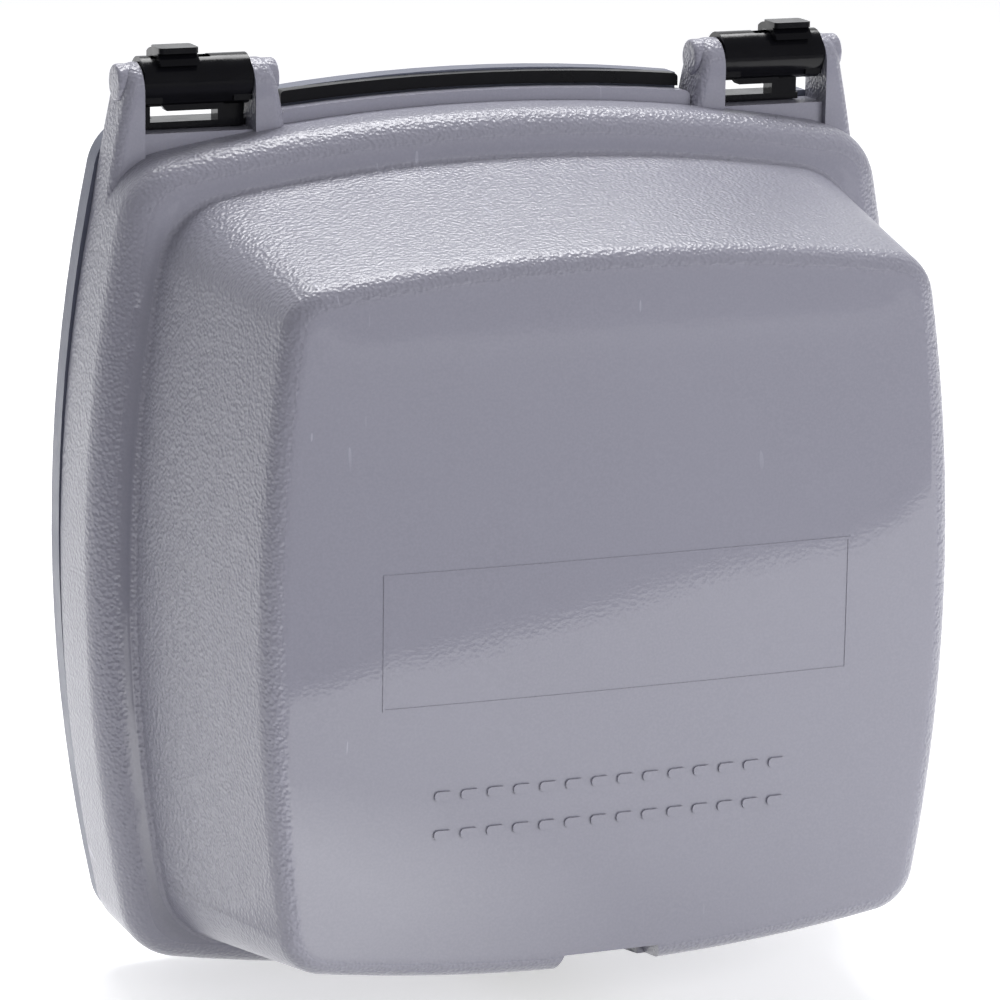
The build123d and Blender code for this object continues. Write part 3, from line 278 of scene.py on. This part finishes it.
def metal(name, colour, roughness, brushed=None, stain=0.25):
    """Plated or bare metal: brushing along one axis and mottled tarnish."""
    s = Shader(name)
    tarnish = s.noise(5 * MM, detail=6, roughness=0.7)
    body = s.mix(s.remap(tarnish, 0.45, 0.75, 0.0, stain), colour, shade(colour, 0.45))
    hairs = s.noise(0.4 * MM, detail=3, along=brushed or (1, 1, 1))
    relief = s.bump(hairs, 0.012 * MM)
    s.surface(
        Base_Color=body,
        Metallic=1.0,
        Roughness=s.remap(tarnish, 0.3, 0.7, roughness * 0.75, roughness * 1.35),
        Normal=relief,
    )
    return s.material


def circuit_green(name, colour):
    """Solder mask over copper: raised tracks on a grid, with bare tinned pads."""
    s = Shader(name)
    tracks = s.math("MULTIPLY", s.stripes(2.54 * MM, "X", 3.0), s.stripes(3.6 * MM, "Z", 2.0))
    track = s.remap(tracks, 0.25, 0.32)
    pads = s.remap(s.pebbles(3.0 * MM, smoothness=0.0), 0.16, 0.13)
    body = s.mix(track, colour, shade(colour, 1.8))
    body = s.mix(pads, body, (0.62, 0.60, 0.55))
    relief = s.bump(track, 0.04 * MM)
    s.surface(Base_Color=body, Roughness=s.remap(pads, 0, 1, 0.28, 0.35), Metallic=pads, Normal=relief)
    return s.material


def wound_copper(name, colour):
    """Fine enamelled wire laid in close turns, with painted shade in the grooves between turns."""
    s = Shader(name)
    turns = s.stripes(0.32 * MM, "Z", 0.15)
    # Painted shade: the grooves between turns are darkened to 0.35 of the wire colour.
    body = s.mix(turns, shade(colour, 0.35), colour)
    s.surface(Base_Color=body, Metallic=0.85, Roughness=0.32, Normal=s.bump(turns, 0.06 * MM))
    return s.material


def clear_lens(name, colour):
    """A tinted light pipe with a faint glow and a hazy surface."""
    s = Shader(name)
    haze = s.noise(0.8 * MM, detail=3)
    s.surface(
        Base_Color=colour,
        Roughness=s.remap(haze, 0.3, 0.7, 0.08, 0.2),
        Transmission_Weight=0.6,
        Emission_Color=colour,
        Emission_Strength=0.15,
    )
    return s.material


# How each material slot of the record is made, with linear colours.
MATERIALS = {
    "cover_grey": lambda n: cover_plastic(n, (0.270, 0.268, 0.322)),
    "base_grey": lambda n: moulded_plastic(n, (0.125, 0.135, 0.185), 0.42),
    "hinge_black": lambda n: black_gloss(n, (0.003, 0.003, 0.004)),
    "seal_black": lambda n: rubber(n, (0.004, 0.004, 0.005)),
    "gasket_foam": lambda n: rubber(n, (0.05, 0.05, 0.055), foam=True),
    "insert_grey": lambda n: moulded_plastic(n, (0.26, 0.265, 0.31), 0.40),
    "screw_steel": lambda n: metal(n, (0.62, 0.61, 0.58), 0.28),
    "strap_steel": lambda n: metal(n, (0.60, 0.59, 0.54), 0.34, brushed=(1, 1, 0.08)),
    "device_white": lambda n: fine_plastic(n, (0.78, 0.77, 0.73), 0.22, 0.004 * MM, grain=0.5 * MM),
    "device_body": lambda n: moulded_plastic(n, (0.50, 0.50, 0.48), 0.45),
    "button_black": lambda n: fine_plastic(n, (0.03, 0.03, 0.032), 0.38),
    "button_red": lambda n: fine_plastic(n, (0.42, 0.03, 0.025), 0.35),
    "shutter_plastic": lambda n: fine_plastic(n, (0.70, 0.58, 0.34), 0.3, 0.006 * MM),
    "spring_steel": lambda n: metal(n, (0.55, 0.55, 0.57), 0.25),
    "contact_brass": lambda n: metal(n, (0.72, 0.50, 0.20), 0.28, brushed=(1, 1, 0.1)),
    "board_green": lambda n: circuit_green(n, (0.02, 0.13, 0.05)),
    "ferrite": lambda n: fine_plastic(n, (0.05, 0.09, 0.20), 0.5, 0.03 * MM, grain=0.3 * MM),
    "copper_wire": lambda n: wound_copper(n, (0.62, 0.26, 0.10)),
    "magnet_steel": lambda n: metal(n, (0.45, 0.44, 0.42), 0.36, stain=0.5),
    "bobbin_plastic": lambda n: moulded_plastic(n, (0.05, 0.05, 0.055), 0.45),
    "brass_screw": lambda n: metal(n, (0.80, 0.56, 0.20), 0.24),
    "silver_screw": lambda n: metal(n, (0.72, 0.71, 0.69), 0.22),
    "green_screw": lambda n: metal(n, (0.04, 0.30, 0.08), 0.3),
    "lens_green": lambda n: clear_lens(n, (0.25, 0.85, 0.35)),
    "disc_blue": lambda n: fine_plastic(n, (0.03, 0.08, 0.32), 0.22, grain=0.6 * MM),
    "capacitor_sleeve": lambda n: fine_plastic(n, (0.03, 0.035, 0.06), 0.25, 0.004 * MM, grain=0.5 * MM),
    "chip_black": lambda n: fine_plastic(n, (0.02, 0.02, 0.02), 0.5, grain=0.2 * MM),
}


# Neighbouring facets that turn by more than this meet at a real edge.
REAL_EDGE_ANGLE = math.radians(24)
JOIN_DISTANCE = 0.002 * MM


def smoothing():
    """A modifier tree that joins coincident vertices, then shades smooth except across real edges."""
    tree = bpy.data.node_groups.new("smooth_curves", "GeometryNodeTree")
    tree.interface.new_socket("Geometry", in_out="INPUT", socket_type="NodeSocketGeometry")
    tree.interface.new_socket("Geometry", in_out="OUTPUT", socket_type="NodeSocketGeometry")
    start = tree.nodes.new("NodeGroupInput")
    end = tree.nodes.new("NodeGroupOutput")
    join = tree.nodes.new("GeometryNodeMergeByDistance")
    join.inputs["Distance"].default_value = JOIN_DISTANCE
    all_smooth = tree.nodes.new("GeometryNodeSetShadeSmooth")
    all_smooth.domain = "FACE"
    angle = tree.nodes.new("GeometryNodeInputMeshEdgeAngle")
    compare = tree.nodes.new("FunctionNodeCompare")
    compare.operation = "GREATER_THAN"
    compare.inputs["B"].default_value = REAL_EDGE_ANGLE
    sharp = tree.nodes.new("GeometryNodeSetShadeSmooth")
    sharp.domain = "EDGE"
    sharp.inputs["Shade Smooth"].default_value = False
    tree.links.new(start.outputs[0], join.inputs["Geometry"])
    tree.links.new(join.outputs["Geometry"], all_smooth.inputs["Geometry"])
    tree.links.new(angle.outputs["Unsigned Angle"], compare.inputs["A"])
    tree.links.new(compare.outputs["Result"], sharp.inputs["Selection"])
    tree.links.new(all_smooth.outputs["Geometry"], sharp.inputs["Geometry"])
    tree.links.new(sharp.outputs["Geometry"], end.inputs[0])
    return tree


def dress_nodes():
    """Gives every CAD node its material and smooth shading. Returns the material of each slot."""
    finishes = {slot: build(slot) for slot, build in MATERIALS.items()}
    slot_of = {part["node"]: part["material_slot"] for part in frame["record"]["subparts"]}
    smooth = smoothing()
    for name, node in frame["nodes"].items():
        node.data.materials.clear()
        node.data.materials.append(finishes[slot_of[name]])
        curves = node.modifiers.new("smooth_curves", "NODES")
        curves.node_group = smooth
    return finishes


# ---------------------------------------------------------------- springs


# Wire radius and number of turns of each spring that a moving piece shortens.
SPRING_WIRE = {
    "test_spring": (0.25 * MM, 5),
    "reset_spring": (0.25 * MM, 5),
    "upper_shutter_spring": (0.15 * MM, 6),
    "lower_shutter_spring": (0.15 * MM, 6),
}


def wound_wire(name, start, along, radius, wire, length, turns):
    """A round wire wound into a spring from start, with closed end turns."""
    steps_per_turn = 28
    ring = 10
    closed = 2.2 * wire
    across = along.orthogonal().normalized()
    upright = along.cross(across)
    points, faces = [], []
    for step in range(turns * steps_per_turn + 1):
        turn = step / steps_per_turn
        angle = 2 * math.pi * turn
        radial = across * math.cos(angle) + upright * math.sin(angle)
        open_share = min(1.0, max(0.0, (turn - 1) / (turns - 2)))
        height = closed * (min(turn, 1) + max(0, turn - turns + 1)) + (length - 2 * closed) * open_share
        for side in range(ring):
            around = 2 * math.pi * side / ring
            offset = radial * (radius + wire * math.cos(around)) + along * (height + wire * math.sin(around))
            points.append(start + offset)
        if step:
            last, this = (step - 1) * ring, step * ring
            for side in range(ring):
                after = (side + 1) % ring
                faces.append((last + side, last + after, this + after, this + side))
    faces.append(tuple(reversed(range(ring))))
    faces.append(tuple(range(len(points) - ring, len(points))))
    mesh = bpy.data.meshes.new(name)
    mesh.from_pydata(points, [], faces)
    mesh.polygons.foreach_set("use_smooth", [True] * len(faces))
    mesh.update()
    return mesh


def spring(held, finish):
    """A wound spring in the place of its CAD node, attached to the base."""
    node = held["node"]
    wire, turns = SPRING_WIRE[node]
    axis = "xyz".index(held["mode"][-1])
    fixed = held[f"fixed_end_{'xyz'[axis]}_m"]
    low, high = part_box(node)
    along = Vector([1.0 if index == axis else 0.0 for index in range(3)])
    middle = (Vector(low) + Vector(high)) / 2
    tall = high[axis] - low[axis]
    start = middle - along * (tall / 2 - wire)
    radius = min(high[index] - low[index] for index in range(3) if index != axis) / 2 - wire
    mesh = wound_wire(f"{node}_wire", start, along, radius, wire, tall - 2 * wire, turns)
    piece = bpy.data.objects.new(f"{node}_wire", mesh)
    mesh.materials.append(finish)
    bpy.context.scene.collection.objects.link(piece)
    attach(piece, "base")
    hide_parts(node)
    anchor = middle.copy()
    anchor[axis] = fixed
    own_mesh(piece)


def springs(finish):
    """Every spring that the record says a joint shortens and that has a wire size here."""
    for joint in frame["record"]["behaviour"]["joints"]:
        for held in joint.get("deforming_nodes", []):
            if held["node"] in SPRING_WIRE:
                spring(held, finish)


# ---------------------------------------------------------------- stage


def ray_kind(tree, kind):
    """The socket that is 1 for rays of one kind, such as camera or glossy rays."""
    return tree.nodes.new("ShaderNodeLightPath").outputs[f"Is {kind} Ray"]


# The pale board's front edge on the floor, y + slope * x = edge, and a brighter patch on it (metres).
BOARD_EDGE = -0.312
BOARD_EDGE_SLOPE = 0.415
BOARD_EDGE_BLUR = 0.004
BRIGHT_PATCH = (-0.055, -0.150, -0.08)
BRIGHT_PATCH_CORE = 0.035
BRIGHT_PATCH_REACH = 0.085


def floor_material(name):
    """Pale board, lit white for the camera, whose front edge shows as a boundary in the lid's gloss."""
    s = Shader(name)
    mottle = s.noise(0.4, detail=2)
    across, along = s.part_of(s.place, "X"), s.part_of(s.place, "Y")
    past_edge = s.math("ADD", s.math("MULTIPLY", across, BOARD_EDGE_SLOPE), along)
    near = s.remap(past_edge, BOARD_EDGE - BOARD_EDGE_BLUR, BOARD_EDGE + BOARD_EDGE_BLUR)
    board = s.mix(near, (0.30, 0.30, 0.31), s.mix(mottle, (0.84, 0.84, 0.85), (0.86, 0.86, 0.87)))
    close = s.remap(s.distance_to(BRIGHT_PATCH), BRIGHT_PATCH_REACH, BRIGHT_PATCH_CORE)
    mirrored = s.math("ADD", s.math("MULTIPLY", near, 1.15), s.math("MULTIPLY", close, 2.0))
    glow = s.math("MULTIPLY", mirrored, ray_kind(s.tree, "Glossy"))
    white = s.remap(near, 0.0, 1.0, 1.1, 0.55)
    glow = s.math("ADD", glow, s.math("MULTIPLY", ray_kind(s.tree, "Camera"), white))
    s.surface(Base_Color=board, Roughness=0.9, Emission_Color=(1, 1, 1), Emission_Strength=glow)
    return s.material


def floor():
    """A wide pale floor just under the lid."""
    reach = 6.0
    gap = 0.3 * MM
    low = CAD_BOX[0].z - gap
    mesh = bpy.data.meshes.new("floor")
    corners = [(-reach, -reach, low), (reach, -reach, low), (reach, reach, low), (-reach, reach, low)]
    mesh.from_pydata(corners, [], [(0, 1, 2, 3)])
    plane = bpy.data.objects.new("floor", mesh)
    mesh.materials.append(floor_material("pale_floor"))
    bpy.context.scene.collection.objects.link(plane)


def softbox(name, place, target, width, height, watts, seen_in_reflections=True):
    """A soft area light at place, facing target."""
    data = bpy.data.lights.new(name, "AREA")
    data.shape = "RECTANGLE"
    data.size, data.size_y = width, height
    data.energy = watts
    lamp = bpy.data.objects.new(name, data)
    lamp.location = place
    lamp.rotation_euler = (Vector(target) - Vector(place)).to_track_quat("-Z", "Y").to_euler()
    lamp.visible_camera = False
    lamp.visible_glossy = seen_in_reflections
    bpy.context.scene.collection.objects.link(lamp)


def lights():
    """A key from behind and above, a wide front fill, and a low strip that lifts the left wall's foot."""
    softbox("top_light", (0.10, 0.35, 0.75), (0, -0.03, 0.02), 0.6, 0.35, 6.5)
    softbox("front_light", (0.5, -1.3, 0.35), (0, -0.05, 0), 1.2, 0.9, 13.6, seen_in_reflections=False)
    low_left, foot = (-0.9, -0.30, -0.04), (-0.08, -0.05, -0.08)
    softbox("left_light", low_left, foot, 0.5, 0.06, 0.35, seen_in_reflections=False)


def world():
    """Bright backdrop behind, dim room in front, for light and reflections. White to the camera."""
    w = bpy.data.worlds.new("room")
    w.use_nodes = True
    tree = w.node_tree
    background = tree.nodes["Background"]
    facing = tree.nodes.new("ShaderNodeTexCoord")
    split = tree.nodes.new("ShaderNodeSeparateXYZ")
    ramp = tree.nodes.new("ShaderNodeMapRange")
    ramp.inputs["From Min"].default_value = 0.10
    ramp.inputs["From Max"].default_value = 0.55
    room = tree.nodes.new("ShaderNodeMix")
    room.data_type = "RGBA"
    room.inputs[MIX_FIRST].default_value = (0.24, 0.24, 0.25, 1)
    room.inputs[MIX_SECOND].default_value = (0.85, 0.86, 0.88, 1)
    seen = tree.nodes.new("ShaderNodeMix")
    seen.data_type = "RGBA"
    seen.inputs[MIX_SECOND].default_value = (1, 1, 1, 1)
    tree.links.new(facing.outputs["Generated"], split.inputs[0])
    tree.links.new(split.outputs["Y"], ramp.inputs["Value"])
    tree.links.new(ramp.outputs["Result"], room.inputs["Factor"])
    tree.links.new(room.outputs[MIX_RESULT], seen.inputs[MIX_FIRST])
    tree.links.new(ray_kind(tree, "Camera"), seen.inputs["Factor"])
    tree.links.new(seen.outputs[MIX_RESULT], background.inputs["Color"])
    bpy.context.scene.world = w


# The photograph's viewing angle: turned to the left, a little above, a long lens, a slight roll.
CAMERA_AZIMUTH = math.radians(-22.6)
CAMERA_ELEVATION = math.radians(14.3)
CAMERA_ROLL = math.radians(0.97)
CAMERA_DISTANCE = 0.8726
CAMERA_LENS = 173.2
CAMERA_TURN = math.radians(0.503)
CAMERA_TILT = math.radians(0.826)
CAMERA_TARGET = Vector((0, -0.040, 0))


def camera():
    """A long-lens camera whose aim is turned so that the object sits a little right and low."""
    a, e = CAMERA_AZIMUTH, CAMERA_ELEVATION
    back = Vector((math.sin(a) * math.cos(e), -math.cos(a) * math.cos(e), math.sin(e)))
    right = Vector((math.cos(a), math.sin(a), 0))
    up = back.cross(right)
    right_rolled = right * math.cos(CAMERA_ROLL) + up * math.sin(CAMERA_ROLL)
    up_rolled = up * math.cos(CAMERA_ROLL) - right * math.sin(CAMERA_ROLL)
    aim = -back - right_rolled * math.tan(CAMERA_TURN) + up_rolled * math.tan(CAMERA_TILT)
    z = -aim.normalized()
    x = up_rolled.cross(z).normalized()
    y = z.cross(x)
    data = bpy.data.cameras.new("camera")
    data.lens = CAMERA_LENS
    data.clip_start, data.clip_end = 0.05, 50
    eye = bpy.data.objects.new("camera", data)
    place = CAMERA_TARGET + back * CAMERA_DISTANCE
    eye.matrix_world = Matrix.Translation(place) @ Matrix((x, y, z)).transposed().to_4x4()
    bpy.context.scene.collection.objects.link(eye)
    bpy.context.scene.camera = eye


def view_settings():
    """Plain colours, with no film look."""
    settings = bpy.context.scene.view_settings
    settings.view_transform = "Standard"
    settings.look = "None"


finishes = dress_nodes()
springs(finishes["spring_steel"])
floor()
lights()
world()
camera()
view_settings()
